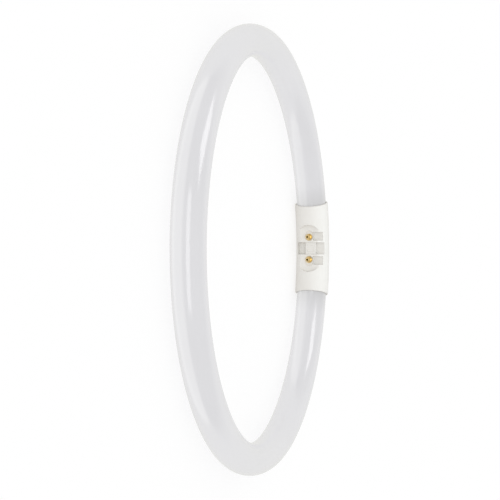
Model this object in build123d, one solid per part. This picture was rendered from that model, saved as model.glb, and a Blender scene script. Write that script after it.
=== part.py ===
"""A ring-shaped lamp tube: an opal glass ring whose two ends meet in a plug-in cap with two contact pins.

The ring lies flat. Its axis is +Z, its centre is the origin and the cap sits at +X, with its socket
facing the centre. Sizes are in millimetres. Inside the cap, radial offsets are measured from the tube's
centre line: negative towards the ring's centre, positive away from it.
"""

import os
from math import asin, cos, degrees, floor, isclose, pi, sin, sqrt

from build123d import *

# Opal tube
RING_OUTER_DIAMETER = 230.0
TUBE_DIAMETER = 16.7
TUBE_WALL = 0.9
TUBE_INSERT = 9.6
TUBE_END_CLEARANCE = 0.1

# Cap shells
CAP_CLEARANCE = 0.1
CAP_WALL = 1.0
CAP_EDGE_RADIUS = 0.7
STOP_THICKNESS = 0.7
STOP_LEDGE = 0.15
TONGUE_THICKNESS = 0.45
TONGUE_DEPTH = 0.8
TONGUE_LAND = 1.5
SHELL_CLEARANCE = 0.05
HOLD_DOWN_THICKNESS = 0.8
HOLD_DOWN_OPENING = 7.0

# Plug-in socket, moulded into the inner shell
SOCKET_WALL = 1.0
ROW_RIB = 1.0
SEAT_DEPTH = 1.3
SEAT_END_RADIUS = 6.9
PIN_SPACING = 13.0
PIN_WELL_DEPTH = 0.5
PIN_WELL_CLEARANCE = 0.5
PIN_WELL_STRETCH = 1.3
POCKET_LENGTH = 4.9
POCKET_DEPTH = 2.55
POCKET_SHIFT = 0.4
POCKET_SIDE_STEP = 0.5
POCKET_CLEARANCE = 0.3
KEY_ROW_DEPTH = 3.55
KEY_ROW_WIDTH = 15.0
KEY_ROW_SHIFT = 0.6
KEY_WIDTH = 6.0
KEY_DROP = 0.95
KEY_PANEL_LENGTH = 3.8
KEY_PANEL_WIDTH = 4.0
KEY_PANEL_DEPTH = 0.25

# Contact pins
PIN_DIAMETER = 2.35
PIN_PROUD = 3.15
PIN_NOSE_LENGTH = 1.5
PIN_TIP_DIAMETER = 1.7
PIN_TIP_RADIUS = 0.2
PIN_BORE_DIAMETER = 1.0
PIN_BORE_DEPTH = 2.0
COLLAR_DIAMETER = 3.6
COLLAR_THICKNESS = 1.0
SHANK_DIAMETER = 1.4
SHANK_CLEARANCE = 0.03
RIVET_DIAMETER = 2.0
RIVET_THICKNESS = 0.4
TAIL_LENGTH = 0.9

# Light strip
STRIP_WIDTH = 8.0
STRIP_THICKNESS = 0.3
STRIP_CLEARANCE = 0.02
STRIP_END_INSET = 1.0
STRIP_PAD_LENGTH = 7.0
LED_PITCH = 7.0
LED_LENGTH = 2.8
LED_WIDTH = 3.5
LED_HEIGHT = 0.7
LED_RIM = 0.3
LED_CUP_DEPTH = 0.4

# Driver board and what is soldered to it
BOARD_THICKNESS = 1.0
BOARD_STANDOFF = 3.6
BOARD_END_CLEARANCE = 0.1
BOARD_SIDE_CLEARANCE = 0.5
HOLE_CLEARANCE = 0.1
COMPONENT_GAP = 1.2
LEG_THICKNESS = 0.2
LEG_REACH = 0.8
WIRE_DIAMETER = 0.5
WIRE_REACH = 0.9
WIRE_BEND_RADIUS = 0.5
STANDOFF = 0.4
CAN_DIAMETER = 4.0
CAN_LENGTH = 9.0
CAN_GROOVE_DEPTH = 0.25
CAN_GROOVE_OFFSET = 1.2
CAN_WIRE_SPACING = 1.5
RECTIFIER_LENGTH = 4.7
RECTIFIER_WIDTH = 3.0
RECTIFIER_HEIGHT = 2.2
RECTIFIER_LEG_WIDTH = 0.7
RECTIFIER_LEG_PITCH = 2.5
RECTIFIER_LEGS_PER_SIDE = 2
CHIP_LENGTH = 4.9
CHIP_WIDTH = 3.6
CHIP_HEIGHT = 1.4
CHIP_LEG_WIDTH = 0.4
CHIP_LEG_PITCH = 1.27
CHIP_LEGS_PER_SIDE = 4
CHOKE_DIAMETER = 4.4
CHOKE_HEIGHT = 3.4
CHOKE_FLANGE = 0.7
CHOKE_WAIST = 0.5
FUSE_DIAMETER = 2.0
FUSE_LENGTH = 4.6
FUSE_WAIST_DEPTH = 0.25
FUSE_WAIST_LENGTH = 2.3
VARISTOR_DIAMETER = 4.2
VARISTOR_THICKNESS = 2.0
VARISTOR_WIRE_SPACING = 2.1

# Leads from the board to the two ends of the strip
LEAD_DIAMETER = 0.9
LEAD_PAD_OFFSET = 3.5
LEAD_LIFT_OFFSET = 0.5
LEAD_DROP = 2.5
LEAD_TAIL = 0.6
LEAD_BEND_RADIUS = 1.5
LEAD_CLEARANCE = 0.3

# Sizes that follow from the driving ones
ring_radius = (RING_OUTER_DIAMETER - TUBE_DIAMETER) / 2
bore_radius = TUBE_DIAMETER / 2 - TUBE_WALL
cavity_radius = TUBE_DIAMETER / 2 + CAP_CLEARANCE
cap_radius = cavity_radius + CAP_WALL

socket_half_length = PIN_SPACING / 2 + SEAT_END_RADIUS + SOCKET_WALL
socket_arc = ring_radius * asin(socket_half_length / (ring_radius - cap_radius))
stop_end = socket_arc + STOP_THICKNESS
tube_end = stop_end + TUBE_END_CLEARANCE
cap_half_length = tube_end + TUBE_INSERT

seat_face = SEAT_DEPTH - cap_radius
key_top = seat_face + KEY_DROP
key_row_floor = seat_face + KEY_ROW_DEPTH
pocket_floor = seat_face + POCKET_DEPTH
pocket_place = PIN_SPACING / 2 + POCKET_SHIFT
key_row_half = pocket_place - POCKET_LENGTH / 2 - ROW_RIB
pocket_near_side = COLLAR_DIAMETER / 2 + POCKET_CLEARANCE
pocket_far_side = KEY_ROW_SHIFT + KEY_ROW_WIDTH / 2 - POCKET_SIDE_STEP
well_floor = seat_face + PIN_WELL_DEPTH
well_radius = COLLAR_DIAMETER / 2 + PIN_WELL_CLEARANCE
well_end = PIN_SPACING / 2 + PIN_WELL_STRETCH + well_radius
outside = -2 * cap_radius
signs = (1, -1)

board_front = key_row_floor + SOCKET_WALL + BOARD_STANDOFF
board_back = board_front + BOARD_THICKNESS
board_half_length = socket_half_length - BOARD_END_CLEARANCE
board_end_sag = ring_radius - sqrt(ring_radius**2 - board_half_length**2)
board_half_width = sqrt(cavity_radius**2 - (board_back + board_end_sag) ** 2) - BOARD_SIDE_CLEARANCE

strip_back = STRIP_CLEARANCE - sqrt(bore_radius**2 - (STRIP_WIDTH / 2) ** 2)
strip_face = strip_back + STRIP_THICKNESS
strip_end = tube_end + STRIP_END_INSET
lead_place = well_end + SOCKET_WALL + LEAD_CLEARANCE + LEAD_DIAMETER / 2
wire_room = WIRE_REACH + WIRE_DIAMETER / 2


def turn(arc):
    """The angle, in radians, of an arc length along the tube's centre line."""
    return arc / ring_radius


def tube_section(profile):
    """Put a profile on the tube's cross-section: x out from the centre line, y along the ring's axis."""
    return Plane.XZ * Pos(ring_radius, 0) * profile


def along_ring(profile, start, end):
    """Carry a cross-section round the ring, between two arc lengths from the middle of the cap."""
    swept = revolve(tube_section(profile), Axis.Z, degrees(turn(end - start)))
    return Rot(0, 0, degrees(turn(start))) * swept


def across_cap(offset):
    """The plane across the cap at a radial offset: x along the tube, y along the ring's axis, z outwards."""
    return Plane(origin=(ring_radius + offset, 0, 0), x_dir=(0, 1, 0), z_dir=(1, 0, 0))


def through_cap(profile, start, end):
    """Extrude a profile across the cap between two radial offsets."""
    return extrude(across_cap(start) * profile, end - start)


def side(width, sign):
    """A tall rectangle from the centre line outwards, for keeping one half of a cross-section."""
    edge = Align.MIN if sign > 0 else Align.MAX
    return Rectangle(width, 4 * cap_radius, align=(edge, Align.CENTER))


def opal_tube():
    """The glass ring, open at both ends, with its ends inside the cap."""
    wall = Circle(TUBE_DIAMETER / 2) - Circle(bore_radius)
    full_turn = 2 * ring_radius * pi
    return along_ring(wall, tube_end, full_turn - tube_end)


def rounded_ends(shell):
    """Round the outer edge of both open ends of a cap shell."""
    circles = shell.edges().filter_by(GeomType.CIRCLE)
    rims = [edge for edge in circles if isclose(edge.radius, cap_radius)]
    return fillet(rims, CAP_EDGE_RADIUS)


def at_both_ends(profile, near, far):
    """Carry a cross-section along the cap on both sides of its middle, between two arc lengths."""
    return along_ring(profile, near, far) + along_ring(profile, -far, -near)


def tube_stops(sign):
    """Two half-round ribs that the tube's ends come up against, in one of the shells."""
    ledge = Circle(cavity_radius + CAP_WALL / 2) - Circle(bore_radius + STOP_LEDGE)
    return at_both_ends(ledge & side(cap_radius, sign), socket_arc, stop_end)


def tongue_band(thickness):
    """The inner layer of the cap's wall, where the outer shell's tongues slide into the inner shell."""
    return Circle(cavity_radius + thickness) - Circle(cavity_radius)


def row(length, low, high):
    """A rectangle over one row of the socket: its length along the tube, its two sides along the axis."""
    return Pos(0, (low + high) / 2) * Rectangle(length, high - low)


def seat_outline(margin):
    """The long rounded seat that the plug comes down on."""
    return SlotCenterToCenter(PIN_SPACING, 2 * (SEAT_END_RADIUS + margin))


def pin_place(sign):
    """Where a contact pin stands along the tube."""
    return Pos(sign * PIN_SPACING / 2, 0)


def pin_well(sign, margin):
    """The shallow well round one pin's collar, stretched away from the middle."""
    slot = SlotCenterToCenter(PIN_WELL_STRETCH, 2 * (well_radius + margin))
    return pin_place(sign) * Pos(sign * PIN_WELL_STRETCH / 2, 0) * slot


def pin_pocket(sign, margin):
    """The deep pocket beside one pin, at one side of the cap."""
    box = row(POCKET_LENGTH + 2 * margin, pocket_near_side - margin, pocket_far_side + margin)
    return Pos(sign * pocket_place, 0) * box


def key_row(width, margin):
    """The middle row, or a part of it of the given width across the cap."""
    return Pos(0, KEY_ROW_SHIFT) * Rectangle(2 * (key_row_half + margin), width + 2 * margin)


def cap_inner_shell():
    """The half of the cap that faces the ring's centre, with the plug-in socket moulded into it."""
    ring = Circle(cap_radius) - Circle(cavity_radius)
    half = ring & side(cap_radius, -1)
    shell = rounded_ends(along_ring(half, -cap_half_length, cap_half_length))
    rebate = tongue_band(TONGUE_THICKNESS + SHELL_CLEARANCE)
    rebate &= side(TONGUE_DEPTH + SHELL_CLEARANCE, -1)
    shell -= at_both_ends(rebate, stop_end, cap_half_length - TONGUE_LAND)

    tub = through_cap(seat_outline(SOCKET_WALL), outside, seat_face + SOCKET_WALL)
    tub += through_cap(key_row(KEY_ROW_WIDTH, ROW_RIB), outside, board_front)
    tub -= through_cap(key_row(KEY_ROW_WIDTH, 0), key_row_floor + SOCKET_WALL, board_front)
    for sign in signs:
        tub += through_cap(pin_well(sign, SOCKET_WALL), outside, well_floor + SOCKET_WALL)
        tub += through_cap(pin_pocket(sign, SOCKET_WALL), outside, pocket_floor + SOCKET_WALL)
    moulding = along_ring(Circle(cap_radius) & side(cap_radius, -1), -socket_arc, socket_arc)
    shell += tub & moulding
    shell += tube_stops(-1)

    key = key_row(KEY_WIDTH, 0)
    shell -= through_cap(seat_outline(0), outside, seat_face)
    shell -= through_cap(key_row(KEY_ROW_WIDTH, 0) - key, outside, key_row_floor)
    shell -= through_cap(key, outside, key_top)
    panel = Pos(0, KEY_ROW_SHIFT) * Rectangle(KEY_PANEL_LENGTH, KEY_PANEL_WIDTH)
    shell -= through_cap(panel, key_top, key_top + KEY_PANEL_DEPTH)
    for sign in signs:
        shank_hole = pin_place(sign) * Circle(SHANK_DIAMETER / 2 + SHANK_CLEARANCE)
        shell -= through_cap(pin_well(sign, 0), outside, well_floor)
        shell -= through_cap(pin_pocket(sign, 0), outside, pocket_floor)
        shell -= through_cap(shank_hole, well_floor, board_front)
    return shell


def cap_outer_shell():
    """The back half of the cap, with the tongues that locate it and the ribs that hold the board down."""
    ring = Circle(cap_radius) - Circle(cavity_radius)
    half = ring & side(cap_radius, 1)
    shell = rounded_ends(along_ring(half, -cap_half_length, cap_half_length))
    shell += tube_stops(1)

    tongue = tongue_band(TONGUE_THICKNESS) & (Pos(CAP_WALL, 0) * side(TONGUE_DEPTH + CAP_WALL, -1))
    tongue_end = cap_half_length - TONGUE_LAND - SHELL_CLEARANCE
    shell += at_both_ends(tongue, stop_end + SHELL_CLEARANCE, tongue_end)

    bore = Circle(cavity_radius + CAP_WALL / 2) & side(cap_radius, 1)
    inside = along_ring(bore, -socket_arc, socket_arc)
    rib = Rectangle(HOLD_DOWN_THICKNESS, 2 * cap_radius)
    rib -= Rectangle(HOLD_DOWN_THICKNESS, HOLD_DOWN_OPENING)
    rest = board_back + SHELL_CLEARANCE
    for sign in signs:
        place = sign * (board_half_length - HOLD_DOWN_THICKNESS / 2)
        shell += through_cap(Pos(place, 0) * rib, rest, cap_radius) & inside
    return shell


def contact_pin(sign):
    """A brass pin: hollow tapered nose, collar on its well's floor, riveted shank soldered to the board."""
    tip = -cap_radius - PIN_PROUD
    collar_face = well_floor - COLLAR_THICKNESS
    floor_back = well_floor + SOCKET_WALL
    nose_end = tip + PIN_NOSE_LENGTH
    at = pin_place(sign)
    from_base = (Align.CENTER, Align.CENTER, Align.MIN)
    nose = Cone(PIN_TIP_DIAMETER / 2, PIN_DIAMETER / 2, PIN_NOSE_LENGTH, align=from_base)
    pin = across_cap(tip) * at * nose
    pin = fillet(pin.faces().sort_by(Axis.X)[0].edges(), PIN_TIP_RADIUS)
    pin += through_cap(at * Circle(PIN_DIAMETER / 2), nose_end, collar_face)
    pin += through_cap(at * Circle(COLLAR_DIAMETER / 2), collar_face, well_floor)
    pin += through_cap(at * Circle(SHANK_DIAMETER / 2), well_floor, board_back + TAIL_LENGTH)
    pin += through_cap(at * Circle(RIVET_DIAMETER / 2), floor_back, floor_back + RIVET_THICKNESS)
    return pin - through_cap(at * Circle(PIN_BORE_DIAMETER / 2), tip, tip + PIN_BORE_DEPTH)


def led_strip():
    """The flexible board, bonded by its long edges to the inner side of the tube's bore."""
    profile = Pos((strip_back + strip_face) / 2, 0) * Rectangle(STRIP_THICKNESS, STRIP_WIDTH)
    full_turn = 2 * ring_radius * pi
    return along_ring(profile, strip_end, full_turn - strip_end)


def led_angles():
    """The angle of each lamp on the strip, evenly spaced between the two solder pads."""
    start = strip_end + STRIP_PAD_LENGTH
    run = 2 * ring_radius * pi - 2 * start
    gaps = floor(run / LED_PITCH)
    return [degrees(turn(start + run * index / gaps)) for index in range(gaps + 1)]


def led_housing():
    """One lamp's white frame with its open cup, facing away from the ring's centre."""
    frame = through_cap(Rectangle(LED_LENGTH, LED_WIDTH), strip_face, strip_face + LED_HEIGHT)
    return frame - led_phosphor()


def led_phosphor():
    """The yellow filling of one lamp's cup."""
    cup = Rectangle(LED_LENGTH - 2 * LED_RIM, LED_WIDTH - 2 * LED_RIM)
    return through_cap(cup, strip_face + LED_HEIGHT - LED_CUP_DEPTH, strip_face + LED_HEIGHT)


def round_the_strip(piece):
    """One copy of a lamp's piece at each place along the strip."""
    return Compound(children=[Rot(0, 0, angle) * piece for angle in led_angles()])


def board_holes():
    """Every hole in the driver board: two for the contact pins and two for the leads."""
    shank = Circle(SHANK_DIAMETER / 2 + HOLE_CLEARANCE)
    lead = Circle(LEAD_DIAMETER / 2 + HOLE_CLEARANCE)
    pins = [pin_place(sign) * shank for sign in signs]
    leads = [Pos(sign * lead_place, 0) * lead for sign in signs]
    return Sketch() + pins + leads


def driver_board():
    """The circuit board behind the socket."""
    outline = Rectangle(2 * board_half_length, 2 * board_half_width)
    return through_cap(outline - board_holes(), board_front, board_back)


def legged_package(place, length, width, height, legs):
    """A moulded package on the board, with flat legs under it that reach out along both long sides."""
    foot = board_back + LEG_THICKNESS
    body = through_cap(Pos(*place) * Rectangle(length, width), foot, board_back + height)
    return body + through_cap(Pos(*place) * legs, board_back, foot)


def leg_comb(count, pitch, leg_width, package_width):
    """The outline of a package's flat legs, evenly spaced about its middle."""
    strip = Rectangle(leg_width, package_width + 2 * LEG_REACH)
    return Sketch() + [Pos(pitch * (index - (count - 1) / 2), 0) * strip for index in range(count)]


def bridge_rectifier(place):
    """The four-legged rectifier."""
    legs = leg_comb(RECTIFIER_LEGS_PER_SIDE, RECTIFIER_LEG_PITCH, RECTIFIER_LEG_WIDTH, RECTIFIER_WIDTH)
    return legged_package(place, RECTIFIER_LENGTH, RECTIFIER_WIDTH, RECTIFIER_HEIGHT, legs)


def driver_chip(place):
    """The eight-legged driver circuit."""
    legs = leg_comb(CHIP_LEGS_PER_SIDE, CHIP_LEG_PITCH, CHIP_LEG_WIDTH, CHIP_WIDTH)
    return legged_package(place, CHIP_LENGTH, CHIP_WIDTH, CHIP_HEIGHT, legs)


def lying_barrel(place, outline, height):
    """Turn an outline, x along the barrel and y out from it, about an axis that lies along the board."""
    axis_line = Plane(origin=(ring_radius + height, *place), x_dir=(0, 1, 0), z_dir=(0, 0, 1))
    return revolve(axis_line * outline, Axis(axis_line.origin, (0, 1, 0)))


def half_outline(length, radius):
    """Half the lengthwise section of a barrel, on one side of its axis."""
    return Rectangle(length, radius, align=(Align.CENTER, Align.MIN))


def bent_wire(place, height, outward):
    """A wire that leaves a barrel's end along the board and turns down to it."""
    level = ring_radius + height
    knee = place[0] + outward * WIRE_REACH
    corners = [
        (level, *place),
        (level, knee, place[1]),
        (ring_radius + board_back, knee, place[1]),
    ]
    route = FilletPolyline(*corners, radius=WIRE_BEND_RADIUS)
    return sweep(Plane(route @ 0, z_dir=route % 0) * Circle(WIRE_DIAMETER / 2), route)


def smoothing_capacitor(place):
    """The capacitor's can, lying on the board, with a rolled groove and two wires at its sealed end."""
    radius = CAN_DIAMETER / 2
    height = board_back + STANDOFF + radius
    middle = place[0] - wire_room / 2
    sealed_end = middle + CAN_LENGTH / 2
    groove = Pos(CAN_LENGTH / 2 - CAN_GROOVE_OFFSET, radius) * Circle(CAN_GROOVE_DEPTH)
    can = lying_barrel((middle, place[1]), half_outline(CAN_LENGTH, radius) - groove, height)
    for sign in signs:
        can += bent_wire((sealed_end, place[1] + sign * CAN_WIRE_SPACING / 2), height, 1)
    return can


def fuse_resistor(place):
    """The fusible resistor: a barrel with swollen ends, with a bent wire at each end."""
    radius = FUSE_DIAMETER / 2
    height = board_back + STANDOFF + radius
    waist = Pos(0, radius) * Rectangle(FUSE_WAIST_LENGTH, 2 * FUSE_WAIST_DEPTH)
    barrel = lying_barrel(place, half_outline(FUSE_LENGTH, radius) - waist, height)
    for sign in signs:
        barrel += bent_wire((place[0] + sign * FUSE_LENGTH / 2, place[1]), height, sign)
    return barrel


def filter_choke(place):
    """The drum-shaped choke: two flanges with the winding between them."""
    at = Pos(*place)
    drum = through_cap(at * Circle(CHOKE_DIAMETER / 2), board_back, board_back + CHOKE_HEIGHT)
    winding = at * (Circle(CHOKE_DIAMETER) - Circle(CHOKE_DIAMETER / 2 - CHOKE_WAIST))
    return drum - through_cap(winding, board_back + CHOKE_FLANGE, board_back + CHOKE_HEIGHT - CHOKE_FLANGE)


def surge_varistor(place):
    """The surge arrester: a thick rounded disc that stands on two legs."""
    radius = VARISTOR_DIAMETER / 2
    height = board_back + STANDOFF + radius
    disc = lying_barrel(place, half_outline(VARISTOR_THICKNESS, radius), height)
    for sign in signs:
        leg = Pos(place[0], place[1] + sign * VARISTOR_WIRE_SPACING / 2) * Circle(WIRE_DIAMETER / 2)
        disc += through_cap(leg, board_back, height)
    return disc


def ring_point(offset, arc):
    """A point in the ring's plane, by its offset from the tube's centre line and its arc length."""
    reach = ring_radius + offset
    return (reach * cos(turn(arc)), reach * sin(turn(arc)), 0)


def lead(sign):
    """The wire from a hole near one end of the board to the pad at that end of the strip."""
    on_strip = strip_face + LEAD_DIAMETER / 2 + STRIP_CLEARANCE
    lift = strip_end + LEAD_LIFT_OFFSET
    corners = [
        ring_point(on_strip, sign * (strip_end + LEAD_PAD_OFFSET)),
        ring_point(on_strip, sign * lift),
        (ring_radius + board_front - LEAD_DROP, sign * lead_place, 0),
        (ring_radius + board_back + LEAD_TAIL, sign * lead_place, 0),
    ]
    route = FilletPolyline(*corners, radius=LEAD_BEND_RADIUS)
    return sweep(Plane(route @ 0, z_dir=route % 0) * Circle(LEAD_DIAMETER / 2), route)


def in_a_row(across, lengths):
    """Places on the board for a row of components, centred along it, with one gap between neighbours."""
    reach = -(sum(lengths) + COMPONENT_GAP * (len(lengths) - 1)) / 2
    places = []
    for length in lengths:
        places.append((reach + length / 2, across))
        reach += length + COMPONENT_GAP
    return places


front_row = in_a_row(board_half_width / 2, [CAN_LENGTH + wire_room, VARISTOR_THICKNESS, RECTIFIER_LENGTH])
back_row = in_a_row(-board_half_width / 2, [CHOKE_DIAMETER, CHIP_LENGTH, FUSE_LENGTH + 2 * wire_room])

pieces = {
    "opal_tube": opal_tube(),
    "cap_inner_shell": cap_inner_shell(),
    "cap_outer_shell": cap_outer_shell(),
    "contact_pin_upper": contact_pin(1),
    "contact_pin_lower": contact_pin(-1),
    "led_strip": led_strip(),
    "led_housings": round_the_strip(led_housing()),
    "led_phosphor": round_the_strip(led_phosphor()),
    "driver_board": driver_board(),
    "bridge_rectifier": bridge_rectifier(front_row[2]),
    "surge_varistor": surge_varistor(front_row[1]),
    "smoothing_capacitor": smoothing_capacitor(front_row[0]),
    "filter_choke": filter_choke(back_row[0]),
    "driver_chip": driver_chip(back_row[1]),
    "fuse_resistor": fuse_resistor(back_row[2]),
    "positive_lead": lead(1),
    "negative_lead": lead(-1),
}

os.makedirs("parts", exist_ok=True)
for node, piece in pieces.items():
    export_step(piece, f"parts/{node}.step")
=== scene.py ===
"""Looks of a ring-shaped opal lamp tube with a plug-in cap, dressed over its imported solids.

Everything is in metres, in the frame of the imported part: the ring lies flat with its axis along +Z, its
centre is the origin and the cap sits at +X, with its socket facing the centre. Offsets across the tube are
measured from its centre line, negative towards the ring's centre.
"""

import logging
import math
from dataclasses import dataclass
from enum import Enum

import bpy
import numpy as np
from mathutils import Matrix, Vector


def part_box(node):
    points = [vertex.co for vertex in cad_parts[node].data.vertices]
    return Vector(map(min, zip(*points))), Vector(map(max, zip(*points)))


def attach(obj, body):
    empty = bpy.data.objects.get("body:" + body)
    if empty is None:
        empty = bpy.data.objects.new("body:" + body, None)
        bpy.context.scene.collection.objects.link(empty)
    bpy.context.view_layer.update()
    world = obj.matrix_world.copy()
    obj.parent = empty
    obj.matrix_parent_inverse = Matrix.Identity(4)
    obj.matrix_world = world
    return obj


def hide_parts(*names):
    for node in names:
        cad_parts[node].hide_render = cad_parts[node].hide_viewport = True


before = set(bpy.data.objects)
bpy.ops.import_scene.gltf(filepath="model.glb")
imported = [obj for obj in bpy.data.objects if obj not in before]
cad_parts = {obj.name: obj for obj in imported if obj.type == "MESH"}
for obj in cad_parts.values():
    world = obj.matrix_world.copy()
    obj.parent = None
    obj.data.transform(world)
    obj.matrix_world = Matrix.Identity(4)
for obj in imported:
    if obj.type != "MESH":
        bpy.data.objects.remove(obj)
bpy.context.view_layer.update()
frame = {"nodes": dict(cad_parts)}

MM = 0.001
BODY = "root"
LOG = logging.getLogger("lamp_ring")

Colour = tuple[float, float, float]
Place = tuple[float, float, float]

WHITE: Colour = (1.0, 1.0, 1.0)
PLACE_DIGITS = 9
BROAD_GRAIN_SHARE = 0.2

# Socket numbers of the colour Mix node and the Mix Shader node, where more than one socket has the same name
MIX_SHARE, MIX_FIRST, MIX_SECOND, MIX_RESULT = 0, 6, 7, 2
SHADER_SHARE, SHADER_FIRST, SHADER_SECOND = 0, 1, 2


# Meshes


def grid_quads(rows: int, columns: int, close_rows: bool, close_columns: bool) -> np.ndarray:
    """Join a grid of points into quads: point (i, j) has the number i times columns plus j.

    Args:
        rows: Number of points along the first parameter.
        columns: Number of points along the second parameter.
        close_rows: Whether the last row joins the first.
        close_columns: Whether the last column joins the first.

    Returns:
        An array of four point numbers for each quad.
    """
    first = np.arange(rows if close_rows else rows - 1)
    second = np.arange(columns if close_columns else columns - 1)
    i, j = np.meshgrid(first, second, indexing="ij")
    next_i, next_j = (i + 1) % rows, (j + 1) % columns
    corners = [i * columns + j, next_i * columns + j, next_i * columns + next_j, i * columns + next_j]
    return np.stack(corners, axis=-1).reshape(-1, 4)


def joined_skins(rows: int, columns: int) -> np.ndarray:
    """Quads of a wall whose two skins are grids of the same size, joined along their four edges.

    Args:
        rows: Number of points along the first parameter of each skin.
        columns: Number of points along the second parameter of each skin.

    Returns:
        The quads of the outer skin, of the inner skin turned over, and of the four rims between them.
    """
    outer = np.arange(rows * columns).reshape(rows, columns)
    inner = outer + rows * columns
    skin = grid_quads(rows, columns, False, False)
    quads = [skin, skin[:, ::-1] + rows * columns]
    rims = [(outer[::-1, 0], inner[::-1, 0]), (outer[:, -1], inner[:, -1]),
            (outer[0, :], inner[0, :]), (outer[-1, ::-1], inner[-1, ::-1])]
    for over, under in rims:
        quads.append(np.stack([over[:-1], over[1:], under[1:], under[:-1]], axis=-1))
    return np.concatenate(quads)


def lathe_faces(rings: int, segments: int) -> list[list[int]]:
    """Faces of a turned shape: rings of points between a first and a last pole.

    Args:
        rings: Number of rings between the poles.
        segments: Number of points in each ring.

    Returns:
        Triangles round both poles and quads between the rings. The poles are the last two points.
    """
    quads = grid_quads(rings, segments, False, True)
    around = np.arange(segments)
    onward = (around + 1) % segments
    last = (rings - 1) * segments
    first_pole, last_pole = rings * segments, rings * segments + 1
    first_cap = np.stack([np.full(segments, first_pole), around, onward], axis=-1)
    last_cap = np.stack([np.full(segments, last_pole), last + onward, last + around], axis=-1)
    return quads.tolist() + first_cap.tolist() + last_cap.tolist()


def signed_volume(points: np.ndarray, faces: list[list[int]]) -> float:
    """Six times the volume inside a closed mesh, negative where its faces point inwards.

    Args:
        points: The mesh's points, one row each.
        faces: Point numbers of its triangles and quads.

    Returns:
        The sum, over each face's fan of triangles, of the triple product of the triangle's corners.
    """
    triangles = [[face[0], face[k], face[k + 1]] for face in faces for k in range(1, len(face) - 1)]
    a, b, c = points[np.array(triangles)].transpose(1, 0, 2)
    return float(np.einsum("ij,ij->", a, np.cross(b, c)))


def solid_piece(name: str, points: np.ndarray, faces: list[list[int]], crease: float) -> bpy.types.Object:
    """Make a closed mesh object whose faces point outwards, smooth apart from its creases.

    Args:
        name: The piece's name.
        points: Its points, one row each, in the part's frame.
        faces: Point numbers of its triangles and quads.
        crease: Edges that turn by more than this angle, in radians, stay sharp.

    Returns:
        The new object, linked to the scene.
    """
    if signed_volume(points, faces) < 0:
        faces = [face[::-1] for face in faces]
    mesh = bpy.data.meshes.new(name)
    mesh.from_pydata(points.tolist(), [], faces)
    mesh.shade_smooth()
    mesh.set_sharp_from_angle(angle=crease)
    piece = bpy.data.objects.new(name, mesh)
    bpy.context.scene.collection.objects.link(piece)
    return piece


# Shared shading


class NodeSheet:
    """A shader node tree with short calls for adding and linking nodes."""

    def __init__(self, tree: bpy.types.NodeTree) -> None:
        """Start on an emptied tree."""
        self.tree = tree
        tree.nodes.clear()

    def add(self, kind: str, values: dict[str | int, object] | None = None,
            **settings: object) -> bpy.types.Node:
        """Add a node.

        Args:
            kind: Blender's name of the node's type.
            values: Numbers and colours for the node's unlinked inputs.
            settings: The node's own properties.

        Returns:
            The new node.
        """
        node = self.tree.nodes.new(kind)
        for key, setting in settings.items():
            setattr(node, key, setting)
        for key, value in (values or {}).items():
            node.inputs[key].default_value = value
        return node

    def link(self, source: bpy.types.NodeSocket, target: bpy.types.NodeSocket) -> None:
        """Join an output to an input."""
        self.tree.links.new(source, target)

    def mix_colours(self, share: bpy.types.NodeSocket, first: bpy.types.NodeSocket,
                    second: bpy.types.NodeSocket) -> bpy.types.NodeSocket:
        """Mix two colours.

        Args:
            share: The output that holds the second colour's share.
            first: The output that holds the first colour.
            second: The output that holds the second colour.

        Returns:
            The output that holds the mixed colour.
        """
        mix = self.add("ShaderNodeMix", data_type="RGBA")
        self.link(share, mix.inputs[MIX_SHARE])
        self.link(first, mix.inputs[MIX_FIRST])
        self.link(second, mix.inputs[MIX_SECOND])
        return mix.outputs[MIX_RESULT]

    def mix_shaders(self, share: bpy.types.NodeSocket, first: bpy.types.NodeSocket,
                    second: bpy.types.NodeSocket) -> bpy.types.NodeSocket:
        """Mix two shaders.

        Args:
            share: The output that holds the second shader's share.
            first: The first shader's output.
            second: The second shader's output.

        Returns:
            The output of the mixed shader.
        """
        mix = self.add("ShaderNodeMixShader")
        self.link(share, mix.inputs[SHADER_SHARE])
        self.link(first, mix.inputs[SHADER_FIRST])
        self.link(second, mix.inputs[SHADER_SECOND])
        return mix.outputs["Shader"]


def new_group(name: str, inputs: dict[str, str],
              outputs: dict[str, str]) -> tuple[NodeSheet, bpy.types.Node, bpy.types.Node]:
    """Start a shader node group.

    Args:
        name: The group's name.
        inputs: Socket type of each named input.
        outputs: Socket type of each named output.

    Returns:
        The group's sheet, its input node and its output node.
    """
    tree = bpy.data.node_groups.new(name, "ShaderNodeTree")
    for direction, sockets in (("INPUT", inputs), ("OUTPUT", outputs)):
        for socket, kind in sockets.items():
            tree.interface.new_socket(socket, in_out=direction, socket_type=kind)
    sheet = NodeSheet(tree)
    return sheet, sheet.add("NodeGroupInput"), sheet.add("NodeGroupOutput")


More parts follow.
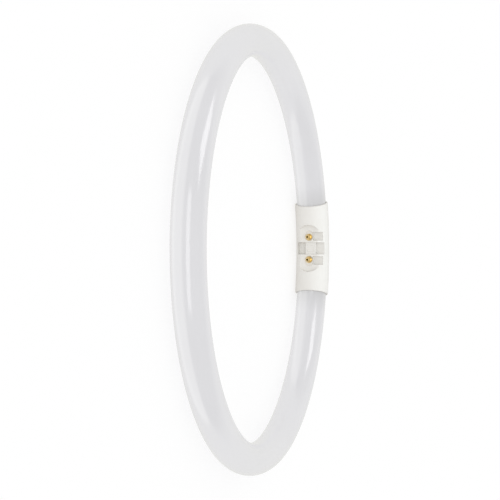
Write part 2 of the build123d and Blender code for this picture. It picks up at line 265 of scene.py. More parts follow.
def build_drift_group() -> bpy.types.NodeTree:
    """A slow drift between two colours, with the mask that drives it, as in any moulded or blown surface.

    Returns:
        The group: a cloud of noise on the given coordinates, spread to the full range from 0 to 1.
    """
    sheet, given, result = new_group(
        "slow_drift",
        {"Vector": "NodeSocketVector", "Scale": "NodeSocketFloat",
         "Light": "NodeSocketColor", "Dark": "NodeSocketColor"},
        {"Color": "NodeSocketColor", "Mask": "NodeSocketFloat"},
    )
    cloud = sheet.add("ShaderNodeTexNoise", {"Detail": 3.0, "Roughness": 0.55})
    spread = sheet.add("ShaderNodeMapRange", {"From Min": 0.3, "From Max": 0.7})
    sheet.link(given.outputs["Vector"], cloud.inputs["Vector"])
    sheet.link(given.outputs["Scale"], cloud.inputs["Scale"])
    sheet.link(cloud.outputs["Fac"], spread.inputs["Value"])
    mixed = sheet.mix_colours(spread.outputs["Result"], given.outputs["Dark"], given.outputs["Light"])
    sheet.link(mixed, result.inputs["Color"])
    sheet.link(spread.outputs["Result"], result.inputs["Mask"])
    return sheet.tree


def build_grain_group() -> bpy.types.NodeTree:
    """A fine surface grain, as a height for a bump and a roughness that follows it.

    Returns:
        The group: two sizes of noise added up, and that sum mapped between two roughnesses.
    """
    sheet, given, result = new_group(
        "fine_grain",
        {"Vector": "NodeSocketVector", "Scale": "NodeSocketFloat",
         "Smooth": "NodeSocketFloat", "Rough": "NodeSocketFloat"},
        {"Height": "NodeSocketFloat", "Roughness": "NodeSocketFloat"},
    )
    fine = sheet.add("ShaderNodeTexNoise", {"Detail": 2.0, "Roughness": 0.6})
    broad_scale = sheet.add("ShaderNodeMath", {1: BROAD_GRAIN_SHARE}, operation="MULTIPLY")
    broad = sheet.add("ShaderNodeTexNoise", {"Detail": 1.0})
    both = sheet.add("ShaderNodeMath", operation="ADD")
    level = sheet.add("ShaderNodeMapRange", {"From Min": 0.6, "From Max": 1.4})
    sheet.link(given.outputs["Vector"], fine.inputs["Vector"])
    sheet.link(given.outputs["Vector"], broad.inputs["Vector"])
    sheet.link(given.outputs["Scale"], fine.inputs["Scale"])
    sheet.link(given.outputs["Scale"], broad_scale.inputs[0])
    sheet.link(broad_scale.outputs[0], broad.inputs["Scale"])
    sheet.link(fine.outputs["Fac"], both.inputs[0])
    sheet.link(broad.outputs["Fac"], both.inputs[1])
    sheet.link(both.outputs[0], level.inputs["Value"])
    sheet.link(given.outputs["Smooth"], level.inputs["To Min"])
    sheet.link(given.outputs["Rough"], level.inputs["To Max"])
    sheet.link(both.outputs[0], result.inputs["Height"])
    sheet.link(level.outputs["Result"], result.inputs["Roughness"])
    return sheet.tree


def build_ends_group() -> bpy.types.NodeTree:
    """A second colour towards the cap, by the angle round the ring from the cap's middle.

    Returns:
        The group: the place's angle from +X, mapped to a mask that is 1 near the cap and 0 far from it.
    """
    sheet, given, result = new_group(
        "tube_ends",
        {"Vector": "NodeSocketVector", "Color": "NodeSocketColor", "End": "NodeSocketColor",
         "Full": "NodeSocketFloat", "Clear": "NodeSocketFloat"},
        {"Color": "NodeSocketColor", "Mask": "NodeSocketFloat"},
    )
    parts = sheet.add("ShaderNodeSeparateXYZ")
    angle = sheet.add("ShaderNodeMath", operation="ARCTAN2")
    away = sheet.add("ShaderNodeMath", operation="ABSOLUTE")
    mask = sheet.add("ShaderNodeMapRange", {"To Min": 1.0, "To Max": 0.0}, interpolation_type="SMOOTHSTEP")
    sheet.link(given.outputs["Vector"], parts.inputs["Vector"])
    sheet.link(parts.outputs["Y"], angle.inputs[0])
    sheet.link(parts.outputs["X"], angle.inputs[1])
    sheet.link(angle.outputs[0], away.inputs[0])
    sheet.link(away.outputs[0], mask.inputs["Value"])
    sheet.link(given.outputs["Full"], mask.inputs["From Min"])
    sheet.link(given.outputs["Clear"], mask.inputs["From Max"])
    mixed = sheet.mix_colours(mask.outputs["Result"], given.outputs["Color"], given.outputs["End"])
    sheet.link(mixed, result.inputs["Color"])
    sheet.link(mask.outputs["Result"], result.inputs["Mask"])
    return sheet.tree


@dataclass(frozen=True)
class SharedShading:
    """The node groups that the finishes are made with."""

    drift: bpy.types.NodeTree
    grain: bpy.types.NodeTree
    ends: bpy.types.NodeTree

    @classmethod
    def build(cls) -> "SharedShading":
        """Build each group once."""
        return cls(build_drift_group(), build_grain_group(), build_ends_group())


@dataclass(frozen=True)
class EndShade:
    """A greyer colour near the cap: full up to one angle from the cap's middle, and gone past another."""

    colour: Colour
    full: float
    clear: float

    def over(self, sheet: NodeSheet, shared: SharedShading, place: bpy.types.NodeSocket,
             colour: bpy.types.NodeSocket) -> bpy.types.NodeSocket:
        """Lay the shade over a colour.

        Args:
            sheet: The material's node tree.
            shared: The node groups to use.
            place: The output that holds the Object coordinates.
            colour: The output that holds the colour.

        Returns:
            The output that holds the shaded colour.
        """
        ends = sheet.add("ShaderNodeGroup", node_tree=shared.ends)
        ends.inputs["End"].default_value = (*self.colour, 1.0)
        ends.inputs["Full"].default_value = self.full
        ends.inputs["Clear"].default_value = self.clear
        sheet.link(place, ends.inputs["Vector"])
        sheet.link(colour, ends.inputs["Color"])
        return ends.outputs["Color"]


@dataclass(frozen=True)
class Finish:
    """A moulded, blown, dipped or coated surface: two close colours that drift, over a fine grain."""

    name: str
    light: Colour
    dark: Colour
    drift_scale: float
    smooth: float
    rough: float
    grain_scale: float
    grain_height: float
    stretch: Place = (1.0, 1.0, 1.0)
    metallic: float = 0.0
    coat: float = 0.0
    gloss: float = 0.5
    ends: EndShade | None = None

    def material(self, shared: SharedShading) -> bpy.types.Material:
        """Build the finish as a material.

        Args:
            shared: The node groups to use.

        Returns:
            The new material, which reads Object coordinates.
        """
        material = bpy.data.materials.new(self.name)
        material.use_nodes = True
        sheet = NodeSheet(material.node_tree)
        place = sheet.add("ShaderNodeTexCoord")
        mapping = sheet.add("ShaderNodeMapping", {"Scale": self.stretch})
        drift = sheet.add("ShaderNodeGroup", node_tree=shared.drift)
        drift.inputs["Scale"].default_value = self.drift_scale
        drift.inputs["Light"].default_value = (*self.light, 1.0)
        drift.inputs["Dark"].default_value = (*self.dark, 1.0)
        grain = sheet.add("ShaderNodeGroup", node_tree=shared.grain)
        grain.inputs["Scale"].default_value = self.grain_scale
        grain.inputs["Smooth"].default_value = self.smooth
        grain.inputs["Rough"].default_value = self.rough
        bump = sheet.add("ShaderNodeBump", {"Strength": 1.0, "Distance": self.grain_height})
        shader = sheet.add("ShaderNodeBsdfPrincipled", {
            "Metallic": self.metallic, "Coat Weight": self.coat, "Specular IOR Level": self.gloss,
        })
        output = sheet.add("ShaderNodeOutputMaterial")
        sheet.link(place.outputs["Object"], mapping.inputs["Vector"])
        sheet.link(mapping.outputs["Vector"], drift.inputs["Vector"])
        sheet.link(mapping.outputs["Vector"], grain.inputs["Vector"])
        colour = drift.outputs["Color"]
        if self.ends is not None:
            colour = self.ends.over(sheet, shared, place.outputs["Object"], colour)
        sheet.link(colour, shader.inputs["Base Color"])
        sheet.link(grain.outputs["Roughness"], shader.inputs["Roughness"])
        sheet.link(grain.outputs["Height"], bump.inputs["Height"])
        sheet.link(bump.outputs["Normal"], shader.inputs["Normal"])
        sheet.link(shader.outputs["BSDF"], output.inputs["Surface"])
        return material


OPAL_GLASS = Finish("opal_glass", light=(0.908, 0.904, 0.926), dark=(0.886, 0.882, 0.904), drift_scale=22.0,
                    smooth=0.12, rough=0.18, grain_scale=260.0, grain_height=0.002 * MM, gloss=0.9,
                    ends=EndShade((0.782, 0.78, 0.789), math.radians(13.5), math.radians(22)))
CAP_PLASTIC = Finish("cap_plastic", light=(0.73, 0.705, 0.67), dark=(0.707, 0.68, 0.64), drift_scale=90.0,
                     smooth=0.42, rough=0.55, grain_scale=5200.0, grain_height=0.006 * MM, gloss=0.2)
PIN_BRASS = Finish("pin_brass", light=(0.92, 0.68, 0.29), dark=(0.77, 0.55, 0.21), drift_scale=700.0,
                   smooth=0.25, rough=0.4, grain_scale=900.0, grain_height=0.004 * MM, metallic=1.0,
                   stretch=(12.0, 1.0, 1.0))
# The bore's inside is painted dark brown. This is painted shade for the hollow tip, which the lamps would
# otherwise leave lit.
PIN_BORE_SHADE = Finish("pin_bore_painted_shade", light=(0.20, 0.11, 0.035), dark=(0.13, 0.07, 0.022), drift_scale=900.0,
                  smooth=0.5, rough=0.7, grain_scale=3000.0, grain_height=0.01 * MM)

HIDDEN_FINISHES = {
    "led_strip": Finish(
        "strip_film", light=(0.84, 0.84, 0.82), dark=(0.76, 0.76, 0.74), drift_scale=300.0,
        smooth=0.35, rough=0.5, grain_scale=4000.0, grain_height=0.01 * MM),
    "led_housings": Finish(
        "led_frame", light=(0.86, 0.85, 0.81), dark=(0.80, 0.79, 0.74), drift_scale=900.0,
        smooth=0.4, rough=0.55, grain_scale=6000.0, grain_height=0.01 * MM),
    "led_phosphor": Finish(
        "led_phosphor", light=(0.86, 0.66, 0.16), dark=(0.74, 0.52, 0.08), drift_scale=2500.0,
        smooth=0.3, rough=0.5, grain_scale=9000.0, grain_height=0.02 * MM),
    "driver_board": Finish(
        "board_laminate", light=(0.04, 0.20, 0.09), dark=(0.02, 0.13, 0.06), drift_scale=500.0,
        smooth=0.3, rough=0.45, grain_scale=3000.0, grain_height=0.01 * MM),
    "bridge_rectifier": Finish(
        "rectifier_compound", light=(0.032, 0.032, 0.035), dark=(0.018, 0.018, 0.02), drift_scale=1500.0,
        smooth=0.45, rough=0.6, grain_scale=7000.0, grain_height=0.015 * MM),
    "driver_chip": Finish(
        "chip_compound", light=(0.03, 0.03, 0.033), dark=(0.016, 0.016, 0.018), drift_scale=1500.0,
        smooth=0.4, rough=0.6, grain_scale=7000.0, grain_height=0.015 * MM),
    "surge_varistor": Finish(
        "varistor_coating", light=(0.03, 0.10, 0.34), dark=(0.02, 0.07, 0.26), drift_scale=700.0,
        smooth=0.15, rough=0.3, grain_scale=1500.0, grain_height=0.03 * MM, coat=0.4),
    "smoothing_capacitor": Finish(
        "can_sleeve", light=(0.025, 0.027, 0.04), dark=(0.015, 0.016, 0.024), drift_scale=400.0,
        smooth=0.2, rough=0.35, grain_scale=1200.0, grain_height=0.01 * MM, coat=0.3),
    "filter_choke": Finish(
        "choke_ferrite", light=(0.06, 0.055, 0.055), dark=(0.035, 0.032, 0.032), drift_scale=1200.0,
        smooth=0.5, rough=0.7, grain_scale=5000.0, grain_height=0.03 * MM),
    "fuse_resistor": Finish(
        "fuse_lacquer", light=(0.14, 0.24, 0.18), dark=(0.10, 0.18, 0.13), drift_scale=900.0,
        smooth=0.25, rough=0.4, grain_scale=2500.0, grain_height=0.02 * MM),
    "positive_lead": Finish(
        "lead_red", light=(0.44, 0.02, 0.015), dark=(0.34, 0.012, 0.01), drift_scale=800.0,
        smooth=0.35, rough=0.5, grain_scale=3000.0, grain_height=0.01 * MM),
    "negative_lead": Finish(
        "lead_black", light=(0.03, 0.03, 0.03), dark=(0.018, 0.018, 0.018), drift_scale=800.0,
        smooth=0.35, rough=0.5, grain_scale=3000.0, grain_height=0.01 * MM),
}


# Pieces


def dress(piece: bpy.types.Object, material: bpy.types.Material, node: str) -> bpy.types.Object:
    """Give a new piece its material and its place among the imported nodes.

    Args:
        piece: The new piece.
        material: Its material.
        node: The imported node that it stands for.

    Returns:
        The piece.
    """
    piece.data.materials.append(material)
    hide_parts(node)
    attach(piece, BODY)
    LOG.info("%s stands for %s, with %d faces", piece.name, node, len(piece.data.polygons))
    return piece


@dataclass(frozen=True)
class Ring:
    """The sizes that the pieces share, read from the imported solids."""

    radius: float
    tube_radius: float
    cap_radius: float
    cap_arc: float
    cap_edge: float = 0.7 * MM
    cap_wall: float = 1.0 * MM

    @classmethod
    def from_frame(cls) -> "Ring":
        """Measure the tube and the cap.

        The tube's height is its diameter, and its reach along Y the ring's outer radius. The cap's ends reach
        as far along Y as the sine of their angle, taken where the rounded edge starts.

        Returns:
            The ring's sizes in metres.
        """
        tube_low, tube_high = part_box("opal_tube")
        cap_low, cap_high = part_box("cap_outer_shell")
        tube_radius = (tube_high.z - tube_low.z) / 2
        cap_radius = (cap_high.z - cap_low.z) / 2
        radius = tube_high.y - tube_radius
        end_angle = math.asin(cap_high.y / (radius + cap_radius - cls.cap_edge))
        return cls(radius, tube_radius, cap_radius, radius * end_angle)

    @property
    def cavity_radius(self) -> float:
        """The cap's inner radius."""
        return self.cap_radius - self.cap_wall


@dataclass(frozen=True)
class OpalTube:
    """The glass ring."""

    ring: Ring
    wall: float = 0.9 * MM
    insert: float = 9.6 * MM
    outer_steps: int = 480
    inner_steps: int = 160
    around: int = 72
    crease: float = math.radians(40)

    def points(self) -> np.ndarray:
        """Points of a circle carried round the ring along its outer skin, then back along its inner one.

        At arc angle t and section angle s, with tube radius r, the point lies at distance R + r cos s from
        the axis, turned by t, and r sin s above the ring's plane.

        Returns:
            The points, one row each.
        """
        end = (self.ring.cap_arc - self.insert) / self.ring.radius
        forth = np.linspace(end, 2 * math.pi - end, self.outer_steps)
        back = np.linspace(2 * math.pi - end, end, self.inner_steps)
        turn = np.concatenate([forth, back])[:, None]
        outer = np.full(self.outer_steps, self.ring.tube_radius)
        inner = np.full(self.inner_steps, self.ring.tube_radius - self.wall)
        radius = np.concatenate([outer, inner])[:, None]
        section = np.linspace(0, 2 * math.pi, self.around, endpoint=False)[None, :]
        reach = self.ring.radius + radius * np.cos(section)
        height = radius * np.sin(section)
        return np.stack([reach * np.cos(turn), reach * np.sin(turn), height], axis=-1).reshape(-1, 3)

    def build(self, shared: SharedShading) -> bpy.types.Object:
        """Build the ring and dress it in opal glass.

        Args:
            shared: The node groups to use.

        Returns:
            The new piece.
        """
        quads = grid_quads(self.outer_steps + self.inner_steps, self.around, True, True)
        piece = solid_piece("opal_ring", self.points(), quads.tolist(), self.crease)
        return dress(piece, OPAL_GLASS.material(shared), "opal_tube")


def slot_distance(along: np.ndarray, across: np.ndarray, half_length: float, radius: float) -> np.ndarray:
    """Distance to the outline of a slot with round ends, negative inside it.

    Args:
        along: Place along the slot, from its middle.
        across: Place across it.
        half_length: Half the distance between the centres of its ends.
        radius: Radius of its ends.

    Returns:
        The distance to the line between the two centres, less the radius.
    """
    beyond = np.maximum(np.abs(along) - half_length, 0)
    return np.hypot(beyond, across) - radius


def merged_lines(exact: np.ndarray, fill: np.ndarray, least: float) -> np.ndarray:
    """Merge two sets of grid lines, leaving out each of the second that lies too close to one of the first.

    Args:
        exact: Places of the lines that stay.
        fill: Places of the lines between them.
        least: The least distance of a filling line from any that stays.

    Returns:
        The places of all lines, in order.
    """
    exact = np.unique(np.round(exact, PLACE_DIGITS))
    apart = np.abs(fill[:, None] - exact[None, :]).min(axis=1) > least
    return np.sort(np.concatenate([exact, fill[apart]]))


def box_distance(along: np.ndarray, across: np.ndarray, half_length: float, half_width: float) -> np.ndarray:
    """Distance to the outline of a rectangle, negative inside it.

    Args:
        along: Place along the rectangle, from its middle.
        across: Place across it, from its middle.
        half_length: Half its length.
        half_width: Half its width.

    Returns:
        The larger of the two overshoots past its sides.
    """
    return np.maximum(np.abs(along) - half_length, np.abs(across) - half_width)


@dataclass(frozen=True)
class Socket:
    """The plug-in socket in the cap: a flat seat, with two pin wells and a keyed middle row sunk into it."""

    ring: Ring
    pin_place: float
    seat_face: float = -8.15 * MM
    seat_end_radius: float = 6.9 * MM
    seat_half_width: float = 5.7 * MM
    key_row_half: float = 3.45 * MM
    key_row_half_width: float = 7.5 * MM
    key_row_shift: float = 0.6 * MM
    key_row_floor: float = -4.6 * MM
    key_half_width: float = 3.0 * MM
    key_top: float = -7.2 * MM
    panel_half_length: float = 1.9 * MM
    panel_half_width: float = 2.0 * MM
    panel_depth: float = 0.25 * MM
    well_floor: float = -7.65 * MM
    well_radius: float = 2.3 * MM
    well_stretch: float = 1.3 * MM
    pocket_floor: float = -5.6 * MM
    pocket_half: float = 2.45 * MM
    pocket_shift: float = 0.4 * MM
    pocket_near_side: float = 2.1 * MM
    pocket_far_side: float = 7.6 * MM
    wall: float = 1.0 * MM
    rib: float = 1.0 * MM
    slope: float = 0.08 * MM
    round_slope: float = 0.36 * MM
    bend_end: float = 18.4 * MM
    fine_step: float = 0.15 * MM
    fine_margin: float = 0.2 * MM
    least_gap: float = 0.05 * MM

    @classmethod
    def from_frame(cls, ring: Ring) -> "Socket":
        """Place the socket's two halves by the upper pin."""
        low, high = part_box("contact_pin_upper")
        return cls(ring, (low.y + high.y) / 2)

    @staticmethod
    def inside(distance: np.ndarray, slope: float) -> np.ndarray:
        """1 inside an outline and 0 outside it, with a smooth step of the given width just within it."""
        step = np.clip(-distance / slope, 0, 1)
        return step * step * (3 - 2 * step)

    def seat_end(self, across: np.ndarray) -> np.ndarray:
        """How far along the tube the seat's round end lies, at each place across it."""
        within = np.clip(across, -self.seat_half_width, self.seat_half_width)
        return self.pin_place + np.sqrt(self.seat_end_radius**2 - within**2)

    def follow_seat(self, along: np.ndarray, across: np.ndarray) -> np.ndarray:
        """Bend the cross lines near the seat's ends, so that one of them runs along each round end.

        A line at the place s moves by w(s) (e(across) - e(0)), where e is the place of the seat's end. The
        weight w is 1 at the end's wall, and falls to 0 at the pockets on one side and beyond the seat on the
        other.

        Args:
            along: Place along the tube.
            across: Place along the ring's axis.

        Returns:
            The moved places along the tube.
        """
        tip = self.pin_place + self.seat_end_radius
        start = self.pin_place + self.pocket_shift + self.pocket_half + self.fine_margin
        weight = np.interp(np.abs(along), [start, tip - self.slope, tip, self.bend_end], [0, 1, 1, 0])
        return along + np.sign(along) * weight * (self.seat_end(across) - tip)

    def well_distance(self, along: np.ndarray, across: np.ndarray) -> np.ndarray:
        """Distance to the outlines of the shallow wells round the pins, stretched away from the middle.

        Args:
            along: Place along the tube.
            across: Place along the ring's axis.

        Returns:
            The distance to the nearer pin's slot, negative inside it.
        """
        half_stretch = self.well_stretch / 2
        from_well = np.abs(along) - self.pin_place - half_stretch
        return slot_distance(from_well, across, half_stretch, self.well_radius)

    def pocket_distance(self, along: np.ndarray, across: np.ndarray) -> np.ndarray:
        """Distance to the outlines of the deep pockets beside the pins, at one side of the cap.

        Args:
            along: Place along the tube.
            across: Place along the ring's axis.

        Returns:
            The distance to the nearer pin's pocket, negative inside it.
        """
        middle = (self.pocket_near_side + self.pocket_far_side) / 2
        half_width = (self.pocket_far_side - self.pocket_near_side) / 2
        from_pocket = np.abs(along) - self.pin_place - self.pocket_shift
        return box_distance(from_pocket, across - middle, self.pocket_half, half_width)

    def carve_face(self, height: np.ndarray, along: np.ndarray, across: np.ndarray) -> np.ndarray:
        """Sink the seat, the wells and the keyed row into the cap's outer skin.

        Each recess lifts the skin to its floor, away from the ring's centre, wherever it lies inside the
        outline of the recess and below its floor.

        Args:
            height: Offset of the skin from the tube's centre line.
            along: Place along the tube.
            across: Place along the ring's axis.

        Returns:
            The carved offsets.
        """
        from_row = across - self.key_row_shift
        key = self.inside(np.abs(from_row) - self.key_half_width, self.slope)
        panel_edge = box_distance(along, from_row, self.panel_half_length, self.panel_half_width)
        panel = self.inside(panel_edge, self.slope)
        row_floor = self.key_row_floor + key * (self.key_top - self.key_row_floor) + panel * self.panel_depth
        seat = np.abs(along) - self.seat_end(across)
        row = box_distance(along, from_row, self.key_row_half, self.key_row_half_width)
        recesses = [
            (self.inside(seat, self.slope), self.seat_face),
            (self.inside(self.well_distance(along, across), self.round_slope), self.well_floor),
            (self.inside(self.pocket_distance(along, across), self.slope), self.pocket_floor),
            (self.inside(row, self.slope), row_floor),
        ]
        for share, floor in recesses:
            height = height + share * np.maximum(floor - height, 0)
        return height

    def carve_back(self, height: np.ndarray, along: np.ndarray, across: np.ndarray) -> np.ndarray:
        """Lift the cap's inner skin over the recesses, so that each keeps a wall round it.

        Args:
            height: Offset of the skin from the tube's centre line.
            along: Place along the tube.
            across: Place along the ring's axis.

        Returns:
            The lifted offsets.
        """
        recesses = [
            (slot_distance(along, across, self.pin_place, self.seat_end_radius + self.wall), self.seat_face),
            (self.well_distance(along, across) - self.wall, self.well_floor),
            (self.pocket_distance(along, across) - self.wall, self.pocket_floor),
            (box_distance(along, across - self.key_row_shift, self.key_row_half + self.rib,
                          self.key_row_half_width + self.rib), self.key_row_floor),
        ]
        for distance, floor in recesses:
            lift = np.maximum(floor + self.wall - height, 0)
            height = height + self.inside(distance, self.round_slope) * lift
        return height

    def fine_lines(self, start: float, end: float) -> np.ndarray:
        """Evenly spaced places, close enough together for a round outline to look smooth."""
        return np.linspace(start, end, math.ceil((end - start) / self.fine_step) + 1)

    def lines_along(self) -> np.ndarray:
        """Places of the socket's cross lines along the tube.

        Returns:
            The foot, middle and brink of each wall, and fine lines across the wells.
        """
        pocket = self.pin_place + self.pocket_shift
        brinks = np.array([self.key_row_half, self.pocket_half - pocket, self.pocket_half + pocket,
                           self.panel_half_length, self.pin_place + self.seat_end_radius])
        walls = np.abs(np.concatenate([brinks, brinks - self.slope, brinks - self.slope / 2]))
        fine = self.fine_lines(self.pin_place - self.well_radius - self.fine_margin,
                               self.pin_place + self.well_stretch + self.well_radius + self.fine_margin)
        half = merged_lines(walls, fine, self.least_gap)
        return np.concatenate([-half, half])

    def lines_across(self) -> np.ndarray:
        """Places of the socket's lengthwise lines along the ring's axis.

        Returns:
            The foot, middle and brink of each straight wall, both edges of the seat, and fine lines between.
        """
        halves = np.array([self.key_row_half_width, self.key_half_width, self.panel_half_width])
        half_walls = np.concatenate([halves, halves - self.slope, halves - self.slope / 2])
        steps = np.array([0.0, self.slope / 2, self.slope])
        seat_edge = math.sqrt(self.ring.cap_radius**2 - self.seat_face**2)
        walls = [self.key_row_shift - half_walls, self.key_row_shift + half_walls, [-seat_edge, seat_edge],
                 self.pocket_near_side + steps, self.pocket_far_side - steps]
        fine = self.fine_lines(-seat_edge - self.fine_margin, seat_edge + self.fine_margin)
        return merged_lines(np.concatenate(walls), fine, self.least_gap)


class CapSide(Enum):
    """Which half of the cap: the one towards the ring's centre, or the one away from it."""

    INNER = -1
    OUTER = 1


CAP_NAMES = {CapSide.INNER: ("cap_socket_shell", "cap_inner_shell"),
             CapSide.OUTER: ("cap_back_shell", "cap_outer_shell")}


@dataclass(frozen=True)
class CapShell:
    """Half of the cap's sleeve, from one parting line to the other, with rounded ends."""

    ring: Ring
    side: CapSide
    socket: Socket
    steps_along: int = 130
    steps_around: int = 90
    edge_steps: int = 6
    least_gap: float = 0.08 * MM
    straight_half: float = 14.4 * MM
    crease: float = math.radians(80)

    def lines_along(self) -> np.ndarray:
        """Arc lengths of the cross lines: evenly spaced, at the socket's walls and round the ends' edges.

        Returns:
            The arc lengths along the tube's centre line, in order.
        """
        ring = self.ring
        even = np.linspace(-(ring.cap_arc - ring.cap_edge), ring.cap_arc - ring.cap_edge, self.steps_along)
        turn = np.linspace(0, math.pi / 2, self.edge_steps)
        edge = ring.cap_arc - ring.cap_edge * (1 - np.sin(turn))
        lines = np.concatenate([-edge, edge])
        if self.side is CapSide.INNER:
            crown = ring.radius - ring.cap_radius
            lines = np.concatenate([lines, ring.radius * np.arcsin(self.socket.lines_along() / crown)])
        return merged_lines(lines, even, self.least_gap)

    def lines_around(self) -> np.ndarray:
        """Section angles of the lengthwise lines.

        Returns:
            The angles from one parting line to the other, in order: evenly spaced, and at the socket's lines.
        """
        even = np.linspace(-math.pi / 2, math.pi / 2, self.steps_around)
        lines = even[[0, -1]]
        if self.side is CapSide.INNER:
            lines = np.concatenate([lines, np.arcsin(self.socket.lines_across() / self.ring.cap_radius)])
        return merged_lines(lines, even, self.least_gap / self.ring.cap_radius)

    def skin(self, radius: np.ndarray, arc: np.ndarray, section: np.ndarray) -> tuple[np.ndarray, ...]:
        """Offsets and places of one skin of the sleeve.

        The skin is a half circle of the given radius carried along the ring. Its cross lines run straight
        across the socket, at the same Y all the way apart from the seat's round ends, and turn by degrees
        into radial lines at the ends of the cap.

        Args:
            radius: Radius of the half circle at each arc length.
            arc: Arc lengths along the tube's centre line.
            section: Section angles.

        Returns:
            The offset along X from the tube's centre line, the place along Y and the place along Z.
        """
        ring = self.ring
        turn = arc[:, None] / ring.radius
        offset = self.side.value * radius[:, None] * np.cos(section)[None, :]
        across = radius[:, None] * np.sin(section)[None, :]
        straight = (ring.radius - ring.cap_radius) * np.sin(turn)
        start = ring.radius * math.asin(self.straight_half / (ring.radius - ring.cap_radius))
        share = np.clip((np.abs(arc[:, None]) - start) / (ring.cap_arc - ring.cap_edge - start), 0, 1)
        along = straight + share * ((ring.radius + offset) * np.sin(turn) - straight)
        if self.side is CapSide.INNER:
            along = self.socket.follow_seat(along, across)
        height = np.sqrt((ring.radius + offset) ** 2 - along**2) - ring.radius
        return height, along, across

    def points(self) -> tuple[np.ndarray, tuple[int, int]]:
        """Points of the outer skin, then of the inner one, on the same grid of lines.

        Returns:
            The points, one row each, and the grid's size.
        """
        ring = self.ring
        arc, section = self.lines_along(), self.lines_around()
        past = np.clip(np.abs(arc) - (ring.cap_arc - ring.cap_edge), 0, ring.cap_edge)
        rounded = ring.cap_radius - ring.cap_edge + np.sqrt(ring.cap_edge**2 - past**2)
        face, face_along, face_across = self.skin(rounded, arc, section)
        bore = np.full(len(arc), ring.cavity_radius)
        back, back_along, back_across = self.skin(bore, arc, section)
        if self.side is CapSide.INNER:
            face = self.socket.carve_face(face, face_along, face_across)
            back = self.socket.carve_back(back, back_along, back_across)
        outer = np.stack([ring.radius + face, face_along, face_across], axis=-1)
        inner = np.stack([ring.radius + back, back_along, back_across], axis=-1)
        return np.concatenate([outer.reshape(-1, 3), inner.reshape(-1, 3)]), (len(arc), len(section))

    def build(self, material: bpy.types.Material) -> bpy.types.Object:
        """Build the shell and dress it in the cap's plastic.

        Args:
            material: The cap's material.

        Returns:
            The new piece.
        """
        points, size = self.points()
        name, node = CAP_NAMES[self.side]
        piece = solid_piece(name, points, joined_skins(*size).tolist(), self.crease)
        return dress(piece, material, node)


@dataclass(frozen=True)
class ContactPin:
    """A turned brass pin: hollow tapered nose, collar on the floor of its well, shank through the floor."""

    node: str
    name: str
    pin_radius: float = 1.175 * MM
    tip_radius: float = 0.85 * MM
    nose_length: float = 1.5 * MM
    tip_round: float = 0.2 * MM
    bore_radius: float = 0.5 * MM
    bore_depth: float = 2.0 * MM
    collar_radius: float = 1.8 * MM
    collar_chamfer: float = 0.15 * MM
    collar_face: float = 3.95 * MM
    collar_thickness: float = 1.0 * MM
    shank_radius: float = 0.7 * MM
    segments: int = 64
    arc_steps: int = 7
    crease: float = math.radians(35)

    def profile(self, length: float) -> np.ndarray:
        """Half the lengthwise section, from the middle of the bore's floor to the middle of the tail.

        Args:
            length: The pin's whole length.

        Returns:
            Distance from the tip and radius of each point. The tip's edge is a quarter circle, and the edges
            of the collar and the tail are chamfers.
        """
        turn = np.linspace(0, math.pi / 2, self.arc_steps)
        tip = np.stack([self.tip_round * (1 - np.sin(turn)),
                        self.tip_radius - self.tip_round * (1 - np.cos(turn))], axis=-1)[::-1]
        near, far = self.collar_face, self.collar_face + self.collar_thickness
        cut = self.collar_chamfer
        rest = [[self.nose_length, self.pin_radius], [near, self.pin_radius],
                [near, self.collar_radius - cut], [near + cut, self.collar_radius],
                [far - cut, self.collar_radius], [far, self.collar_radius - cut], [far, self.shank_radius],
                [length - cut, self.shank_radius], [length, self.shank_radius - cut]]
        bore = [[self.bore_depth, self.bore_radius], [self.tip_round / 2, self.bore_radius],
                [0.0, self.bore_radius + self.tip_round / 2]]
        return np.concatenate([bore, tip, rest])

    def build(self, brass: bpy.types.Material, painted_bore_shade: bpy.types.Material) -> bpy.types.Object:
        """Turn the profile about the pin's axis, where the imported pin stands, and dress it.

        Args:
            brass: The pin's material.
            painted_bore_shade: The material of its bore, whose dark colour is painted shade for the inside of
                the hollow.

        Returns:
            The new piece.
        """
        low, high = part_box(self.node)
        length = high.x - low.x
        profile = self.profile(length)
        around = np.linspace(0, 2 * math.pi, self.segments, endpoint=False)[None, :]
        reach, radius = profile[:, :1], profile[:, 1:]
        middle_y, middle_z = (low.y + high.y) / 2, (low.z + high.z) / 2
        along = np.broadcast_to(low.x + reach, (len(profile), self.segments))
        rings = np.stack([along, middle_y + radius * np.cos(around), middle_z + radius * np.sin(around)],
                         axis=-1).reshape(-1, 3)
        poles = np.array([[low.x + self.bore_depth, middle_y, middle_z], [high.x, middle_y, middle_z]])
        faces = lathe_faces(len(profile), self.segments)
        piece = solid_piece(self.name, np.concatenate([rings, poles]), faces, self.crease)
        dress(piece, brass, self.node)
        # The bore's faces take the second material, whose dark colour is painted shade.
        piece.data.materials.append(painted_bore_shade)
        bore_floor = (len(profile) - 1) * self.segments
        in_bore = np.zeros(len(faces), dtype=np.int32)
        in_bore[:self.segments] = 1
        in_bore[bore_floor:bore_floor + self.segments] = 1
        piece.data.polygons.foreach_set("material_index", in_bore)
        return piece


@dataclass(frozen=True)
class HiddenWorks:
    """The light strip in the tube and the driver in the cap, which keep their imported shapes."""

    nodes: dict[str, bpy.types.Object]

    def dress(self, shared: SharedShading) -> None:
        """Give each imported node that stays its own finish.

        Args:
            shared: The node groups to use.
        """
        for node, finish in HIDDEN_FINISHES.items():
            mesh = self.nodes[node].data
            mesh.materials.clear()
            mesh.materials.append(finish.material(shared))
            LOG.info("%s keeps its packed shape, in %s", node, finish.name)


# Studio


